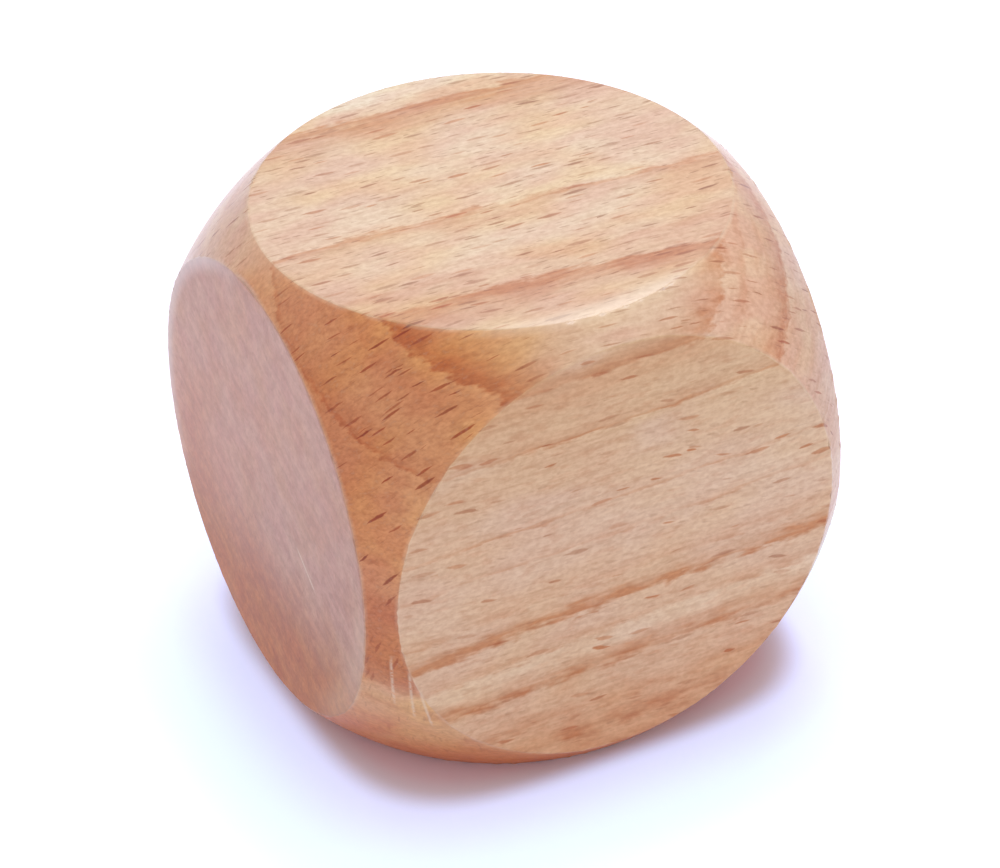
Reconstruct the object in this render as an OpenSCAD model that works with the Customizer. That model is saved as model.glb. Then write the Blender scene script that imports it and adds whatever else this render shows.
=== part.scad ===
// Blank wooden die: one block of beech, sawn to a cube and then rounded on a ball,
// so that a round flat is left in the middle of each of its six sides.
// The block stands on its lower flat, with the origin in the middle of that flat and +Z up.

/* [Block] */
// Distance across opposite flats
side = 50; // [30:0.5:80]
// Diameter of a round flat, to its sharp edge, as a share of the side
flat_share = 0.904; // [0.6:0.002:0.95]

/* [Rims] */
// Radius that sanding leaves on the rim of each flat
rim_r = 0.4; // [0.1:0.05:1]

/* [Hidden] */
$fn = 180;

// Centre of the block to a flat
half = side / 2;

// Ball that rounds the corners: it passes through the sharp edge of every flat
ball_r = half * norm([1, flat_share]);

// Centre of the circle that rounds a rim, in the half-plane of the flat's profile:
// the circle touches the flat from below and the ball from inside
rim_z = half - rim_r;
rim_x = sqrt(pow(ball_r - rim_r, 2) - pow(rim_z, 2));

// Direction from the block's centre to where that circle meets the ball
rim_end = [rim_x, rim_z] / norm([rim_x, rim_z]);

// Reach of the cutter, clear of the ball
cutter_r = 1.2 * ball_r;

beech_color = [0.86, 0.68, 0.5];

// What is cut away at the upper flat, as a profile turned about +Z: all that lies over
// the flat, and the waste between the rounded rim and the sharp edge
module flat_cutter() {
    rotate_extrude()
        difference() {
            polygon([
                [0, half],
                [rim_x, half],
                [rim_x, rim_z],
                cutter_r * rim_end,
                [cutter_r, cutter_r],
                [0, cutter_r]
            ]);
            translate([rim_x, rim_z])
                circle(rim_r);
        }
}

// The whole die: a ball with six flats cut on it, four round the X axis and one at each of its ends
module die_blank() {
    color(beech_color)
        translate([0, 0, half])
            difference() {
                sphere(ball_r);
                for (angle = [0:90:270])
                    rotate([angle, 0, 0])
                        flat_cutter();
                for (angle = [-90, 90])
                    rotate([0, angle, 0])
                        flat_cutter();
            }
}

die_blank();
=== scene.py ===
import math

import bmesh
import bpy
from mathutils import Matrix, Vector


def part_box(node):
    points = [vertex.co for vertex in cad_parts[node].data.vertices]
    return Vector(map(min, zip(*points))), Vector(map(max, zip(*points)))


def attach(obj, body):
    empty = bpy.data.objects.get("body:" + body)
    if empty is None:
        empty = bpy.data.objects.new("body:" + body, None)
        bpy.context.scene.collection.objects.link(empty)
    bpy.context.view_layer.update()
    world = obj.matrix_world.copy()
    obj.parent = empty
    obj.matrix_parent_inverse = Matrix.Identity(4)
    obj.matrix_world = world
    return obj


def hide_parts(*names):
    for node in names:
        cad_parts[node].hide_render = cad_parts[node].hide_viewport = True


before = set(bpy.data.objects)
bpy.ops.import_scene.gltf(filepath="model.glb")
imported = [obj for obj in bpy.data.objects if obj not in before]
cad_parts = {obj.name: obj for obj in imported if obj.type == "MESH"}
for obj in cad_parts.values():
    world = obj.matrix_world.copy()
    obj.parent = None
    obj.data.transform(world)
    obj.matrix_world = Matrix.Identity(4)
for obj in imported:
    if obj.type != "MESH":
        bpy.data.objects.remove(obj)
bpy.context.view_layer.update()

scene = bpy.context.scene
scene.view_settings.view_transform = "Standard"

# the block's own measures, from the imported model
lowCorner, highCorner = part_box("die_blank")
half = (highCorner.z - lowCorner.z) / 2
middle = Vector((0, 0, lowCorner.z + half))


# a shader socket that takes part in sums: each operator adds its Math node
class Flow:
    def __init__(self, socket):
        self.socket = socket

    # any other node of the same tree: its settings first, then values or links for its sockets
    def add(self, kind, settings=None, inputs=None, output=0):
        tree = self.socket.id_data
        node = tree.nodes.new("ShaderNode" + kind)
        for name, value in (settings or {}).items():
            setattr(node, name, value)
        for name, value in (inputs or {}).items():
            if isinstance(value, Flow):
                tree.links.new(value.socket, node.inputs[name])
            else:
                node.inputs[name].default_value = value
        return Flow(node.outputs[output]) if node.outputs else None

    def math(self, operation, *values, clamp=False):
        settings = {"operation": operation, "use_clamp": clamp}
        return self.add("Math", settings, dict(enumerate(values)))

    def __add__(self, other):
        return self.math("ADD", self, other)

    __radd__ = __add__

    def __sub__(self, other):
        return self.math("SUBTRACT", self, other)

    def __rsub__(self, other):
        return self.math("SUBTRACT", other, self)

    def __mul__(self, other):
        return self.math("MULTIPLY", self, other)

    __rmul__ = __mul__

    def __truediv__(self, other):
        return self.math("DIVIDE", self, other)

    def __pow__(self, other):
        return self.math("POWER", self, other)

    def __abs__(self):
        return self.math("ABSOLUTE", self)

    def most(self, other):
        return self.math("MAXIMUM", self, other)

    def least(self, other):
        return self.math("MINIMUM", self, other)

    # a straight rise or fall, held between 0 and 1
    def ramp(self, slope, start):
        return self.math("MULTIPLY_ADD", self, slope, start, clamp=True)

    def dot(self, by):
        return self.add("VectorMath", {"operation": "DOT_PRODUCT"}, {0: self, 1: by}, 1)

    def clip(self):
        return self.math("ADD", self, 0, clamp=True)

    # 0 before start and 1 past end, smooth between; end may lie below start
    def ease(self, start, end):
        settings = {"interpolation_type": "SMOOTHSTEP"}
        return self.add("MapRange", settings, {"Value": self, "From Min": start, "From Max": end})

    # self as a point, stretched by three factors
    def stretch(self, by):
        return self.add("VectorMath", {"operation": "MULTIPLY"}, {0: self, 1: by})

    def shift(self, by):
        return self.add("VectorMath", {"operation": "ADD"}, {0: self, 1: by})

    # self as a point, swayed by a noise read at another point
    def sway(self, at, scale, by):
        noise = at.add("TexNoise", None, {"Vector": at, "Scale": scale, "Detail": 1}, 1)
        return self.add("VectorMath", {"operation": "MULTIPLY_ADD"}, {0: noise, 1: by, 2: self})

    def parts(self):
        split = self.add("SeparateXYZ", None, {0: self}).socket.node
        return [Flow(out) for out in split.outputs]

    # noise read at self as a point
    def cloud(self, detail, rough=0.5):
        inputs = {"Vector": self, "Scale": 1, "Detail": detail, "Roughness": rough}
        return self.add("TexNoise", None, inputs)

    # tints a colour: multiplied in by share
    def tint(self, colour, share):
        settings = {"data_type": "RGBA", "blend_type": "MULTIPLY"}
        return self.add("Mix", settings, {0: share, 6: self, 7: colour}, 2)

    # fades a colour into another one by share
    def toward(self, colour, share):
        return share.between(self, colour)

    # self as the share by which one colour turns into another
    def between(self, first, second):
        return self.add("Mix", {"data_type": "RGBA"}, {0: self, 6: first, 7: second}, 2)


def newTree(holder):
    holder.use_nodes = True
    holder.node_tree.nodes.clear()
    return holder.node_tree


print("stage: the block")

dieBlank = {
    "flatShare": 0.904,  # flat's diameter against the side
    "rimRadius": 0.0004,  # metres
    "ballCuts": 7,  # how often the ball's triangles are halved
    "rimSteps": 6,
    "flatRings": (0.98, 0.955, 0.925, 0.89, 0.85, 0.8, 0.73, 0.62, 0.45, 0.25),  # shares of the flat
    "wornBearing": -87,  # degrees, on the upper flat, where its rim is rolled off most
    "wornSpread": 20,  # degrees to either side
    "wornWidth": 0.0026,
    "wornDrop": 0.00011,
    "wornSpill": 0.9,  # how far the wear moves outwards, against its drop
    "wornDepth": 0.08,  # half-sides under the flat, down to which the ball gives way too
    "rimLowest": 0.99,  # half-sides over the centre: the rim's own vertices lie above
    "mergeGap": 4e-5,
}


# the round face that a cut has left, facing along axis
def selectFlat(die, axis):
    bpy.ops.mesh.select_all(action="DESELECT")
    mesh = bmesh.from_edit_mesh(die.data)
    facing = [face for face in mesh.faces if face.normal.dot(axis) > 0.99]
    max(facing, key=lambda face: face.calc_area()).select_set(True)
    bmesh.update_edit_mesh(die.data)


def carveDie(sizes):
    ballRadius = half * math.hypot(1, sizes["flatShare"])
    rimRadius = sizes["rimRadius"]
    rimZ = half - rimRadius
    rimX = math.sqrt((ballRadius - rimRadius) ** 2 - rimZ ** 2)
    leanMost = math.atan2(rimX, rimZ)  # where the rounded rim runs out on the ball
    leans = [leanMost * (1 - step / sizes["rimSteps"]) for step in range(sizes["rimSteps"] + 1)]
    profile = [(rimX + rimRadius * math.sin(lean), rimZ + rimRadius * math.cos(lean)) for lean in leans]
    profile += [(rimX * share, half) for share in sizes["flatRings"]]

    bpy.ops.object.select_all(action="DESELECT")
    cuts = sizes["ballCuts"]
    bpy.ops.mesh.primitive_ico_sphere_add(subdivisions=cuts, radius=ballRadius, location=middle)
    die = bpy.context.object
    die.name = "die_wood"
    bpy.ops.object.transform_apply(location=True, rotation=True, scale=True)
    bpy.ops.object.mode_set(mode="EDIT")
    bpy.ops.mesh.select_mode(type="FACE")
    axes = [Vector(axis) for axis in ((0, 0, 1), (0, 0, -1), (0, 1, 0), (0, -1, 0), (1, 0, 0), (-1, 0, 0))]
    startWidth, startHeight = profile[0]
    for axis in axes:
        bpy.ops.mesh.select_all(action="SELECT")
        cut = middle + axis * startHeight
        bpy.ops.mesh.bisect(plane_co=cut, plane_no=axis, use_fill=True, clear_outer=True)
    bpy.ops.mesh.select_all(action="SELECT")
    bpy.ops.mesh.remove_doubles(threshold=sizes["mergeGap"])
    for axis in axes:
        selectFlat(die, axis)
        width, height = startWidth, startHeight
        for nextWidth, nextHeight in profile[1:]:
            rise = axis * (nextHeight - height)
            bpy.ops.mesh.extrude_region_move(TRANSFORM_OT_translate={"value": rise})
            shrink = [0 if abs(part) > 0.5 else nextWidth / width for part in axis]  # 0 levels the ring
            bpy.ops.transform.resize(value=shrink, center_override=middle + axis * nextHeight)
            width, height = nextWidth, nextHeight
    bpy.ops.object.mode_set(mode="OBJECT")
    return die, ballRadius, rimX


# the upper flat rolls off towards its front rim, and the ball gives way below it
def wearRim(die, sizes, ballRadius, rimX):
    for vertex in die.data.vertices:
        place = vertex.co - middle
        reach = math.hypot(place.x, place.y)
        if place.z < half * (1 - sizes["wornDepth"]) or reach < rimX - sizes["wornWidth"]:
            continue
        turn = (math.degrees(math.atan2(place.y, place.x)) - sizes["wornBearing"] + 180) % 360 - 180
        wear = sizes["wornDrop"] * math.exp(-((turn / sizes["wornSpread"]) ** 2))
        if place.length > ballRadius - 1e-6:  # lies on the ball
            fall = 1 - (half - place.z) / (half * sizes["wornDepth"])
            place.z -= wear * fall
            vertex.co = middle + place.normalized() * ballRadius
        elif place.z > half * sizes["rimLowest"]:
            share = min(1, (reach - rimX + sizes["wornWidth"]) / sizes["wornWidth"])
            outward = Vector((place.x, place.y, 0)) / reach
            spill = outward * wear * share * sizes["wornSpill"]
            vertex.co = vertex.co - Vector((0, 0, wear * share ** 2)) + spill


die, ballRadius, rimX = carveDie(dieBlank)
wearRim(die, dieBlank, ballRadius, rimX)
bpy.ops.object.select_all(action="DESELECT")
die.select_set(True)
bpy.context.view_layer.objects.active = die
bpy.ops.object.shade_smooth()
print("stage: block has", len(die.data.polygons), "faces")


print("stage: beech")

beech = {
    "ringTilt": -24.9,  # degrees about the grain, from level rings
    "ringSlope": -0.034,  # rings climb this much along the grain
    "raySlope": 0.035,  # and the rays lean this much
    # growth rings, crisp ones and then blurred ones: place across the rings in half-sides,
    # darkness of the line, darkness and width of the fade beyond it
    "crispRings": (
        (1.163, 0.25, 0.85, 0.083), (1.105, 0.12, 0.1, 0.04), (0.943, 0.8, 0.25, 0.09),
        (0.64, 0.6, 0.1, 0.04), (0.5, 0.4, 0.15, 0.05),
    ),
    "softRings": (
        (0.31, 0, 0.3, 0.07), (0.215, 0, 1.3, 0.083), (0.1, 0, 0.3, 0.08),
        (-0.04, 0, 1.0, 0.085), (-0.2, 0, 0.6, 0.06), (-0.3, 0, 0.7, 0.09),
        (-0.46, 0, 0.8, 0.09), (-0.74, 0, 0.9, 0.1), (-1.12, 0, 0.9, 0.1),
    ),
    "backRing": (0.595, 0.3, 0.75, 0.11),  # one that only shows towards +Y
    "rightRing": (0.95, 0.5, 0.75, 0.1),  # and one towards +X
    "crispEdge": 0.006,
    "softEdge": 0.014,
    "ringLine": 0.013,  # width of the line, half-sides
    "leadWidth": 0.04,  # of the pale wood just under a ring
    "flatEdge": (0.9955, 0.9985),  # half-sides from the centre, where a flat takes over from the ball
    # how fine each noise is along the grain and across it, cells in a half-side
    "grit": (36, 60, 60),
    "fibre": (9, 90, 90),
    "strand": (3, 48, 48),
    "smear": (12, 40, 38),
    "blotch": (7, 18, 18),
    "mottle": (3.5, 8, 8),
    "patch": (2, 4, 4),
    "patchShift": (5, 3, 1),
    "layer": (1.5, 6, 32),  # thin layers along the rings
    "slowWave": (1.2, 2.2, 2.2),
    "quickWave": (7, 16, 16),
    # how far the rings follow those noises, half-sides
    "slowHeight": 0.04,
    "quickHeight": 0.03,
    "strandHeight": 0.012,
    "gritHeight": 0.006,
    "sway": (0, 0.07, 0.07),
    "swayFineness": 1.8,
    "sanding": (7, 45, 45),
    "sandingTurn": (0, -0.48, -0.43),  # radians
    "sandingStrength": 0.1,
    "sandingDepth": 0.0001,  # metres
    # ray flecks and pores: room for each one, and its half-lengths
    "fleckCell": (0.15, 0.042, 0.1),
    "fleckSize": (0.07, 0.008, 0.05),
    "poreCell": (0.085, 0.02, 0.07),
    "poreSize": (0.034, 0.0042, 0.03),
    "poreShift": 7.3,  # so that pores don't lie on the flecks
    "pale": (0.81, 0.605, 0.45, 1),
    "cream": (0.9, 0.8, 0.65, 1),
    "topTint": (0.97, 1.0, 1.03, 1),
    "frontTint": (1.045, 1.055, 1.05, 1),
    "bandTint": (1.06, 1.14, 1.2, 1),  # a pale layer through the middle
    "leadTint": (1.03, 1.06, 1.06, 1),  # just under a ring
    "pinkTint": (0.96, 0.87, 0.89, 1),
    "blushTint": (1.03, 1.08, 1.1, 1),
    "goldTint": (1.0, 0.95, 0.8, 1),
    "fibreTint": (0.8, 0.72, 0.66, 1),
    "ringTint": (0.79, 0.52, 0.35, 1),
    "fleckTint": (0.48, 0.3, 0.2, 1),
    "rustTint": (0.72, 0.4, 0.23, 1),
    "warmTint": (0.96, 0.88, 0.82, 1),  # approach of the outermost ring
    "lowTint": (0.95, 0.72, 0.56, 1),
    "redBall": (0.88, 0.56, 0.37, 1),  # corners at the left
    "goldBall": (1.0, 0.74, 0.48, 1),
    # painted shade: darker on the ball's edge between the left and front flats at mid height
    "darkShadeBall": (0.88, 0.72, 0.62, 1),
    # painted sheen: the right of the ball paler, as seen at a glancing angle under the key light
    "softSheenBall": (1.0, 0.92, 0.86, 1),  # and at the right
    # painted highlight: paler and cooler on the strip of ball that catches the key light's glare
    "stripSheenBall": (1.1, 1.13, 1.18, 1),  # and between the upper flat and the front one
    # painted reflection: a cool lilac cast on the ball behind the left flat
    "coolReflectionBall": (0.8, 0.88, 1.02, 1),  # and behind the left flat
    "edgeBall": (0.87, 0.93, 0.98, 1),
    "lowBall": (1.05, 0.94, 0.65, 1),
    # painted shade: darker and warmer low on the ball, towards the floor
    "underShadeBall": (0.9, 0.6, 0.46, 1),
    "endTint": (0.71, 0.52, 0.5, 1),
    # painted shade: warmer and darker low on the end flat, where it mirrors the shadowed floor
    "endLowShade": (1.0, 0.91, 0.58, 1),
    "endFoot": (1.12, 1.16, 1.02, 1),
    # painted sheen along the end flat's far rim
    "endRimSheen": (0.78, 0.74, 0.77, 1),
    # pale scratches, from and to, in half-sides from the block's centre
    "scratches": (
        ((-0.928, -0.964, -0.165), (-0.895, -0.899, -0.458)),
        ((-0.875, -1.0, -0.23), (-0.828, -0.924, -0.528)),
        ((-0.835, -1.0, -0.339), (-0.766, -0.946, -0.579)),
        ((-1.0, -0.3, -0.08), (-1.0, -0.46, -0.2)),
    ),
    "scratchWidth": 0.009,
    "coatRoughness": 0.2,
}


# growth rings: a line at each boundary and a shade that fades outwards; edge is how blurred the boundary is
def ringMarks(depth, rings, edge, lineWidth):
    marks = None
    for ringPlace, line, shade, width in rings:
        after = depth - ringPlace
        fade = after.ramp(-1 / width, 1.2)
        mark = fade * fade * shade
        if line:
            mark = mark + after.ramp(-1 / lineWidth, 1) * line
        mark = mark * after.ramp(0.5 / edge, 0.5)
        marks = mark if marks is None else marks.most(mark)
    return marks


# thin lens-shaped marks, one in each cell, of many sizes and shades; thick widens them across y
def lenses(place, cell, size, by, thick):
    scaled = place.stretch([1 / edge for edge in cell]).shift((by, by, by))
    cells = scaled.add("TexVoronoi", None, {"Vector": scaled, "Scale": 1}).socket.node
    centre, pick = Flow(cells.outputs["Position"]), Flow(cells.outputs["Color"])
    away = scaled.add("VectorMath", {"operation": "SUBTRACT"}, {0: scaled, 1: centre})
    dx, dy, dz = away.stretch([edge / length for edge, length in zip(cell, size)]).parts()
    big, dark, hue = pick.parts()
    big = 0.45 + 0.55 * big
    inside = 1 - (dx * dx + dz * dz) / (big * big) - abs(dy) / (big * thick)
    return inside.ease(0, 0.6) * (0.45 + 0.55 * dark), hue


# a thin mark from one point to another, in a plane through the block's centre
def scratch(place, first, last, width):
    first, last = Vector(first), Vector(last)
    line = last - first
    aside = first.cross(last).normalized()
    share = place.dot(line / line.length_squared) - first.dot(line) / line.length_squared
    share = share.clip()
    ends = (share * (1 - share) * 8).clip()  # it thins out towards its ends
    return abs(place.dot(aside)).ramp(-1 / width, 1) * ends


def beechMaterial(wood):
    material = bpy.data.materials.new("beech")
    tree = newTree(material)
    start = Flow(tree.nodes.new("ShaderNodeTexCoord").outputs["Object"])
    place = start.shift(-middle).stretch([1 / half] * 3)  # half-sides from the block's centre
    x, y, z = place.parts()

    # grain frame: x along the grain, y along the rings, z across them
    tilt = (math.radians(wood["ringTilt"]), 0, 0)
    turned = place.add("Mapping", None, {"Vector": place, "Rotation": tilt})
    along, _, across = turned.parts()
    bent = turned.sway(place, wood["swayFineness"], wood["sway"])
    bent = bent.shift(place.add("CombineXYZ", None, {1: along * wood["raySlope"]}))
    grit = bent.stretch(wood["grit"]).cloud(2, 0.6)
    fibre = bent.stretch(wood["fibre"]).cloud(2)
    strand = bent.stretch(wood["strand"]).cloud(2)
    smear = bent.stretch(wood["smear"]).cloud(2)
    blotch = bent.stretch(wood["blotch"]).cloud(1).ease(0.35, 0.65)
    mottle = place.stretch(wood["mottle"]).cloud(1)
    patch = place.shift(wood["patchShift"]).stretch(wood["patch"]).cloud(1)
    layer = turned.stretch(wood["layer"]).cloud(2)
    strokes = {"Vector": place, "Rotation": wood["sandingTurn"], "Scale": wood["sanding"]}
    sanding = place.add("Mapping", None, strokes).cloud(1, 0.6)

    # what sanding left: round flats against the ball's polish, end grain against long grain;
    # from here on, x, y and z say where on the block, in half-sides
    wide, far, tall = abs(x), abs(y), abs(z)
    reach = wide.most(far).most(tall)
    ways = (reach, wide, far, tall)
    flat, endFlat, frontFlat, topFlat = (way.ease(*wood["flatEdge"]) for way in ways)
    onBall = 1 - flat
    longGrain = 1 - endFlat

    # wavy growth rings
    slowWave = place.stretch(wood["slowWave"]).cloud(1) - 0.5
    quickWave = place.stretch(wood["quickWave"]).cloud(2) - 0.5
    depth = across + wood["ringSlope"] * along
    depth = depth + slowWave * wood["slowHeight"] + quickWave * wood["quickHeight"]
    depth = depth + (strand - 0.5) * wood["strandHeight"] + (grit - 0.5) * wood["gritHeight"]
    fuzz = (smear - 0.5) * 5
    edge, blur, lineWidth = wood["crispEdge"], wood["softEdge"], wood["ringLine"]
    crisp = depth + fuzz * edge
    loose = depth + fuzz * blur
    firm = ringMarks(crisp, wood["crispRings"], edge, lineWidth)
    soft = ringMarks(loose, wood["softRings"], blur, lineWidth) * (0.6 + 0.5 * blotch)
    back = ringMarks(crisp, (wood["backRing"],), edge, lineWidth) * y.ease(-0.2, 0.4)
    right = ringMarks(crisp, (wood["rightRing"],), edge, lineWidth) * x.ease(0.4, 0.75) * onBall
    patchy = 0.65 + 0.45 * mottle.ease(0.35, 0.6)
    outside = depth.ease(1.1, 1.15)  # from the outermost ring on, which is weak in front and at the right
    outer = outside * frontFlat.most(x.ease(0.2, 0.5) * onBall)
    rings = (firm.most(soft) * patchy * (1 - 0.3 * outer)).most(back).most(right)
    rings = (rings * (0.75 + 0.5 * strand.ease(0.3, 0.7))).clip()

    # rays, seen as flecks: thin lenses that lie along the grain and run in across the rings; and fine pores
    jitter = {0: (grit - 0.5) * 0.03, 1: (smear - 0.5) * 0.008, 2: (fibre - 0.5) * 0.01}
    ragged = bent.shift(place.add("CombineXYZ", None, jitter))
    wider = 1 + 0.5 * topFlat - 0.15 * frontFlat
    flecks, rust = lenses(ragged, wood["fleckCell"], wood["fleckSize"], 0, wider)
    rust = (rust + 0.45 * frontFlat + 0.1 * topFlat).clip()
    flecks = flecks * (0.7 + 0.3 * patch.ease(0.35, 0.6)) * (1 + 0.12 * topFlat - 0.7 * endFlat)
    flecks = flecks * (1 - 0.7 * z.ease(0.15, -0.35) * onBall)
    wider = 1 + 0.3 * topFlat
    pores, _ = lenses(ragged, wood["poreCell"], wood["poreSize"], wood["poreShift"], wider)
    pores = pores * longGrain * (0.5 + 0.5 * flat - 0.6 * frontFlat)

    # sapwood by the back rim, then layers, patches and fibres
    sap = depth.ease(0.58, 0.55) * y.ease(0.7, 0.85)
    colour = sap.between(wood["pale"], wood["cream"])
    colour = colour.tint(wood["topTint"], topFlat)
    colour = colour.tint(wood["frontTint"], frontFlat * z.ease(0.55, 0.15))
    colour = colour.tint(wood["lowTint"], depth.ease(0.1, -0.5))
    band = loose.ease(0.02, 0.06) * loose.ease(0.105, 0.085)
    colour = colour.tint(wood["bandTint"], band * longGrain)
    outward = depth.ease(1.02, 1.15) * depth.ease(1.24, 1.18) * (1 - x.ease(0.1, 0.5) * onBall)
    colour = colour.tint(wood["warmTint"], outward)
    colour = colour.tint(wood["pinkTint"], mottle.ease(0.35, 0.65) * (1 - 0.75 * frontFlat))
    upper = z.ease(0.2, 0.7)
    gold = (patch + 0.22 * upper * frontFlat).ease(0.4, 0.65) * (1 - 0.5 * frontFlat * (1 - upper))
    colour = colour.tint(wood["goldTint"], gold)
    blush = z.ease(0.99, 0.998) * (x * x + y * y).ease(0.65, 0.15)
    blush = blush.most(frontFlat * x.ease(-0.3, 0.7) * z.ease(-0.1, 0.2))
    colour = colour.tint(wood["blushTint"], blush)
    fibres = strand.ease(0.4, 0.75) * 0.25 + fibre.ease(0.4, 0.75) * 0.25
    ends = layer.ease(0.35, 0.7) * 0.6 + blotch * 0.6
    colour = colour.tint(wood["fibreTint"], fibres * longGrain + ends * endFlat)
    colour = colour.tint(wood["fibreTint"], grit.ease(0.3, 0.7) * 0.6 + sanding.ease(0.35, 0.7) * 0.22)
    colour = colour.tint(wood["ringTint"], layer.ease(0.45, 0.7) * 0.3 * x.ease(0.2, 0.6) * onBall)
    smudge = smear.ease(0.5, 0.72) * (0.1 + 0.12 * frontFlat) * longGrain
    colour = colour.tint(wood["rustTint"], smudge + blotch * depth.ease(0.25, -0.05) * 0.2 * frontFlat)
    before = wood["crispRings"][2][0] - crisp  # up to the ring across the upper flat
    lead = before.ramp(-1 / wood["leadWidth"], 1) * before.ramp(0.5 / edge, 0.5)
    colour = colour.tint(wood["leadTint"], lead * longGrain)
    # rings show less on the left corners, hardly at all low down there, and little in end grain
    faint = 0.6 * onBall * x.ease(0, -0.4) * depth.ease(0.9, 0.85)
    shown = rings.least(1 - 0.2 * onBall * x.ease(0.2, -0.1)) * (1 - faint)
    colour = colour.tint(wood["ringTint"], shown * (1 - 0.8 * endFlat))
    colour = colour.tint(wood["fleckTint"], (pores * 0.6).most(flecks * (1 - rust)))
    colour = colour.tint(wood["rustTint"], flecks * rust)

    # the ball: polished darker at the left, with clean-cut flecks, and pale where light wood turns up; its
    # paler right side is painted sheen
    golden = (patch * 0.7 + 0.83 + x * 1.1 + 0.2 * depth.ease(0.94, 0.88)).ease(0.3, 0.6)
    deep = colour.tint(wood["redBall"], 1.0).toward(colour.tint(wood["goldBall"], 1.0), golden)
    # painted shade: darker band on the ball's left-front edge at mid height
    deep = deep.tint(wood["darkShadeBall"], depth.ease(0.08, 0.2) * depth.ease(0.56, 0.46))
    deep = deep.tint(wood["fibreTint"], fibre.ease(0.4, 0.7) * 0.4 + smear.ease(0.45, 0.65) * 0.3)
    corner = x.ease(-0.78, -1.03) * z.ease(0.2, 0.5)
    deep = deep.tint(wood["ringTint"], (rings * outside * 0.5).most(corner * 0.4))
    # rust flecks, and fine pale specks that are painted glints
    deep = deep.tint(wood["rustTint"], flecks * 1.3).toward(wood["cream"], grit.ease(0.55, 0.75) * 0.07)
    # painted sheen: paler towards the right of the ball
    paleBall = colour.tint(wood["softSheenBall"], x.ease(0.3, 0.65)).tint(wood["rustTint"], flecks * 0.6)
    # painted highlight on the strip of ball between the upper flat and the front one
    paleBall = paleBall.tint(wood["stripSheenBall"], x.ease(-0.4, 0) * x.ease(0.85, 0.55) * z.ease(0, 0.3))
    # paler at the right as painted sheen, and paler at the back and low down
    pallorAndSheen = (x + (z + 0.3).clip() * 0.3).ease(-0.3, 0.3)
    lowDown = z.ease(-0.3, -0.44)
    pallorAndSheen = pallorAndSheen.most(y.ease(-0.45, 0.3) * 0.6).most(lowDown * 0.85)
    ball = deep.toward(paleBall, pallorAndSheen)
    # painted reflection: a cool lilac cast behind the left flat
    ball = ball.tint(wood["coolReflectionBall"], y.ease(-0.1, 0.6) * x.ease(-0.1, -0.5))
    # painted shade: darker and warmer low on the ball, towards the floor
    underShade = z.ease(-0.64, -0.94).most(x.ease(-0.8, -0.92) * z.ease(-0.5, -0.7) * 0.8)
    ball = ball.tint(wood["lowBall"], lowDown).tint(wood["underShadeBall"], underShade)
    ball = ball.tint(wood["edgeBall"], x.ease(0.7, 0.95))
    # painted shade: warmer and darker towards the bottom of the end flat
    flats = colour.tint(wood["endTint"], endFlat).tint(wood["endLowShade"], endFlat * z.ease(-0.1, -0.6))
    flats = flats.tint(wood["endFoot"], endFlat * z.ease(-0.5, -0.85))
    colour = ball.toward(flats, flat)

    # painted highlight along the rims and painted glare where the upper flat rolls off; paler where the end
    # flat's rim is rubbed, and along scratches
    rimHighlight = reach.ease(0.986, 0.996) * reach.ease(0.9998, 0.9985) * (0.3 + mottle.ease(0.4, 0.6))
    colour = colour.toward(wood["cream"], rimHighlight * (0.12 + 0.06 * x.ease(-0.4, 0.3)))
    # painted glare where the upper flat's front rim rolls off
    rollOffGlare = z.ease(0.97, 0.99) * (x * x + y * y).ease(0.66, 0.78) * y.ease(-0.74, -0.86)
    colour = colour.toward(wood["cream"], rollOffGlare * 0.2)
    spread = y * y + z * z  # squared distance from the middle of an end flat
    rubbed = endFlat * spread.ease(0.56, 0.74) * y.ease(-0.3, -0.6) * z.ease(0.1, -0.2)
    colour = colour.toward(wood["cream"], rubbed * 0.15)
    # painted sheen: a pale lilac line where the end flat's far rim catches the light
    farRimSheen = endFlat * spread.ease(0.68, 0.82) * y.ease(0, 0.5) * z.ease(-0.6, 0.1)
    colour = colour.toward(wood["endRimSheen"], farRimSheen * 0.5)
    scratched = None
    for first, last in wood["scratches"]:
        mark = scratch(place, first, last, wood["scratchWidth"])
        scratched = mark if scratched is None else scratched.most(mark)
    scratched = scratched * grit.ease(0.3, 0.5) * x.ease(0, -0.2)  # not mirrored to the right
    colour = colour.toward(wood["cream"], scratched * 0.5)

    facing = start.add("LayerWeight", None, {"Blend": 0.5}, 1)
    gloss = onBall * facing.ease(0.38, 0.95) * 0.5 * z.ease(-0.7, -0.4)
    rough = 0.4 + 0.14 * flat - 0.21 * endFlat - 0.14 * rollOffGlare + (fibre - 0.5) * 0.15
    rough = rough + 0.12 * endFlat * z.ease(-0.2, -0.7)
    relief = {"Strength": wood["sandingStrength"], "Distance": wood["sandingDepth"], "Height": sanding}
    bump = start.add("Bump", None, relief)
    shader = start.add("BsdfPrincipled", None,
                       {"Base Color": colour, "Roughness": rough, "Normal": bump,
                        "Coat Weight": gloss, "Coat Roughness": wood["coatRoughness"]})
    start.add("OutputMaterial", None, {"Surface": shader})
    return material


die.data.materials.clear()
die.data.materials.append(beechMaterial(beech))
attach(die, "root")
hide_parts("die_blank")


print("stage: floor and light")

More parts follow.
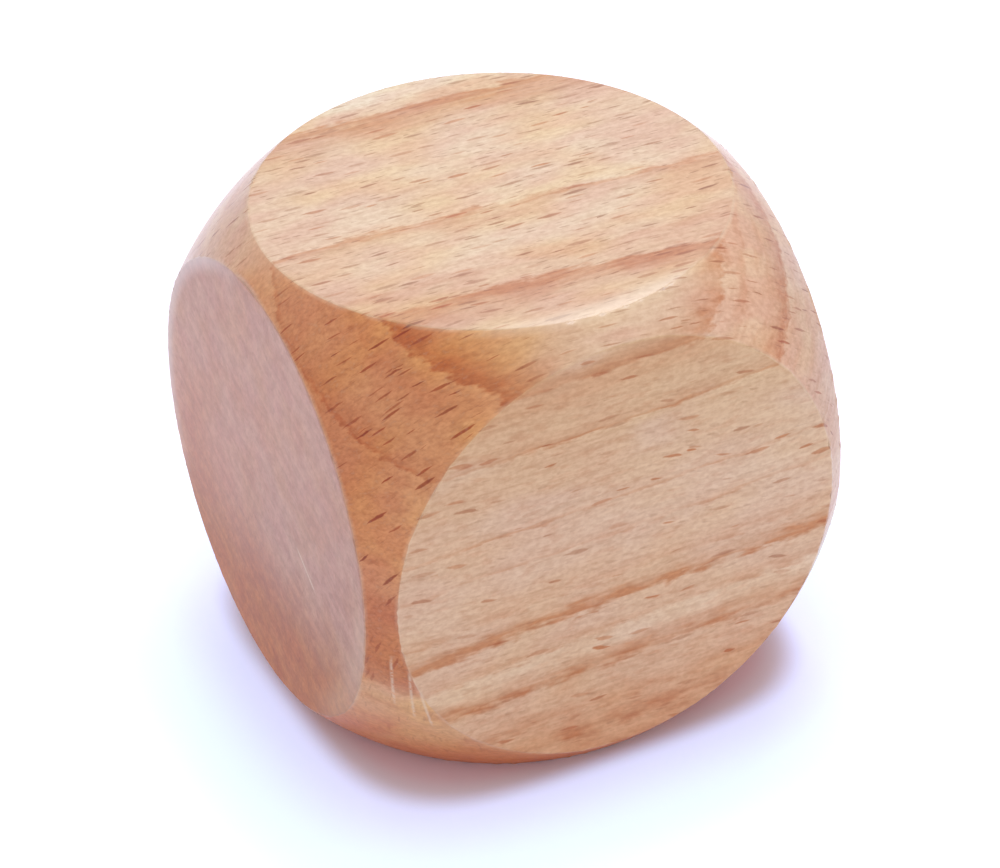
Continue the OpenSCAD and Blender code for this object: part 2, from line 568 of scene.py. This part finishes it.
studio = {
    "floorSize": 4.0,
    "floorColour": (0.76, 0.76, 1.0, 1),
    # painted contact shadow: the floor darker and lilac right round the block's foot
    "contactShadowColour": (0.76, 0.66, 0.87, 1),
    "contactShadowReach": (0.021, 0.0232),  # metres from the block's axis
    # glow that only seen rays find in the floor, graded as a painted shadow round the block: none under the
    # block, then lilac, pale blue and white
    "paintedShadowGlows": ((0.24, 0.34, 0.58, 1), (0.31, 0.5, 0.55, 1), (0.5, 0.5, 0.5, 1)),
    "paintedShadowReaches": ((0.0228, 0.0262), (0.026, 0.034), (0.033, 0.045)),
    "sky": (0.89, 0.83, 0.725, 1),
    "keyAim": (0.36, 0.56, 0.75),  # from the block towards the key light
    "keyDistance": 0.9,
    "keySize": 0.6,
    "keyPower": 3.2,
    "keyColour": (0.77, 0.83, 1.0),
}


# 1 for rays that reach the camera straight, off a gloss or through glass
def seenRays(tree):
    path = tree.nodes.new("ShaderNodeLightPath")
    kinds = ("Is Camera Ray", "Is Glossy Ray", "Is Transmission Ray")
    straight, glossy, through = (Flow(path.outputs[kind]) for kind in kinds)
    return straight.most(glossy).most(through)


def setFloor(light):
    bpy.ops.object.select_all(action="DESELECT")
    bpy.ops.mesh.primitive_plane_add(size=light["floorSize"], location=(0, 0, lowCorner.z))
    floor = bpy.context.object
    floor.name = "floor"
    material = bpy.data.materials.new("floor")
    tree = newTree(material)
    seen = seenRays(tree)
    spotX, spotY, _ = Flow(tree.nodes.new("ShaderNodeTexCoord").outputs["Object"]).parts()
    spot = (spotX ** 4 + spotY ** 4) ** 0.25  # follows the block's plan: a rounded square
    # painted contact shadow round the block's foot
    contactShadow = spot.ease(*light["contactShadowReach"]).between(light["contactShadowColour"], light["floorColour"])
    matt = {"Base Color": contactShadow, "Roughness": 1, "Specular IOR Level": 0}
    paint = seen.add("BsdfPrincipled", None, matt)
    nearReach, midReach, farReach = light["paintedShadowReaches"]
    nearShadowGlow, midShadowGlow, farGlow = light["paintedShadowGlows"]
    # the painted shadow's glow: none under the block, then lilac and pale blue, white farther out
    colour = spot.ease(*midReach).between(nearShadowGlow, midShadowGlow).toward(farGlow, spot.ease(*farReach))
    colour = colour.tint((0, 0, 0, 1), 1 - seen * spot.ease(*nearReach))
    glow = seen.add("Emission", None, {"Color": colour, "Strength": 1})
    both = seen.add("AddShader", None, {0: paint, 1: glow})
    seen.add("OutputMaterial", None, {"Surface": both})
    floor.data.materials.append(material)


def setSky(light):
    world = bpy.data.worlds.new("studio")
    scene.world = world
    tree = newTree(world)
    seen = seenRays(tree)
    sky = seen.add("Background", None, {"Color": light["sky"], "Strength": 1})
    white = seen.add("Background", None, {"Color": (1, 1, 1, 1), "Strength": 1})
    both = seen.add("MixShader", None, {0: seen, 1: sky, 2: white})
    seen.add("OutputWorld", None, {"Surface": both})


def setKey(light):
    aim = Vector(light["keyAim"]).normalized()
    lamp = bpy.data.lights.new("key", "AREA")
    lamp.size = light["keySize"]
    lamp.energy = light["keyPower"]
    lamp.color = light["keyColour"]
    key = bpy.data.objects.new("key", lamp)
    key.location = middle + aim * light["keyDistance"]
    key.rotation_euler = (-aim).to_track_quat("-Z", "Y").to_euler()
    scene.collection.objects.link(key)


setFloor(studio)
setSky(studio)
setKey(studio)


print("stage: camera")

camera = {
    "azimuth": -25.47,  # degrees, from straight in front of the -Y flat
    "elevation": 35.14,
    "roll": -2.07,
    "distance": 16.129,  # half-sides
    "aim": (-0.016, -0.041, -0.062),  # half-sides from the block's centre
    "lens": 150.07,  # millimetres
    "sensor": 36.0,
    "nearest": 0.01,  # metres
}


def setCamera(view):
    turn, lift = math.radians(view["azimuth"]), math.radians(view["elevation"])
    back = Vector((math.sin(turn) * math.cos(lift), -math.cos(turn) * math.cos(lift), math.sin(lift)))
    lens = bpy.data.cameras.new("camera")
    lens.lens = view["lens"]
    lens.sensor_width = view["sensor"]
    lens.sensor_fit = "HORIZONTAL"
    lens.clip_start = view["nearest"]
    eye = bpy.data.objects.new("camera", lens)
    aim = middle + Vector(view["aim"]) * half
    level = (-back).to_track_quat("-Z", "Y").to_matrix()
    rolled = level @ Matrix.Rotation(math.radians(view["roll"]), 3, "Z")
    eye.matrix_world = Matrix.Translation(aim + back * view["distance"] * half) @ rolled.to_4x4()
    scene.collection.objects.link(eye)
    scene.camera = eye


setCamera(camera)
